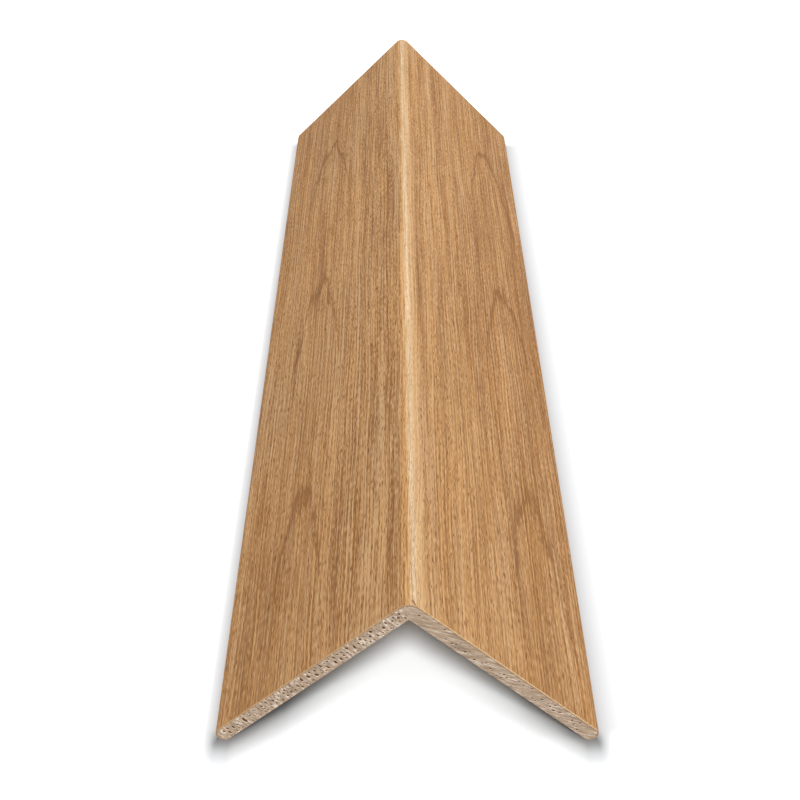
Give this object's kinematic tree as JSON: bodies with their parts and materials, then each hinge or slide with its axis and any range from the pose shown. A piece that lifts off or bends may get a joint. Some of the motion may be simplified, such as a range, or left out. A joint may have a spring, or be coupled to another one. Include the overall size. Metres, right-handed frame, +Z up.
{
  "type": "l-shaped trim",
  "caption": "L-shaped corner trim: a thin angle board with an oak veneer bent round the outside corner and the rounded leg edges, glued over an outside corner of a wall.",
  "frame": {"origin": "on the floor under the middle of the ridge, halfway along the length", "axes": "+Z up through the ridge, +Y along the ridge, +X towards the right leg as seen from the -Y end"},
  "size_m": [0.069, 0.237, 0.0361],
  "materials": {
    "core_board": "pale beige board, sawn ends with small pits, smooth backs",
    "oak": "honey oak, open grain, satin, paler along the rounded ridge"
  },
  "bodies": {
    "root": {"angle_core": "core_board", "oak_veneer": "oak"}
  },
  "joints": []
}
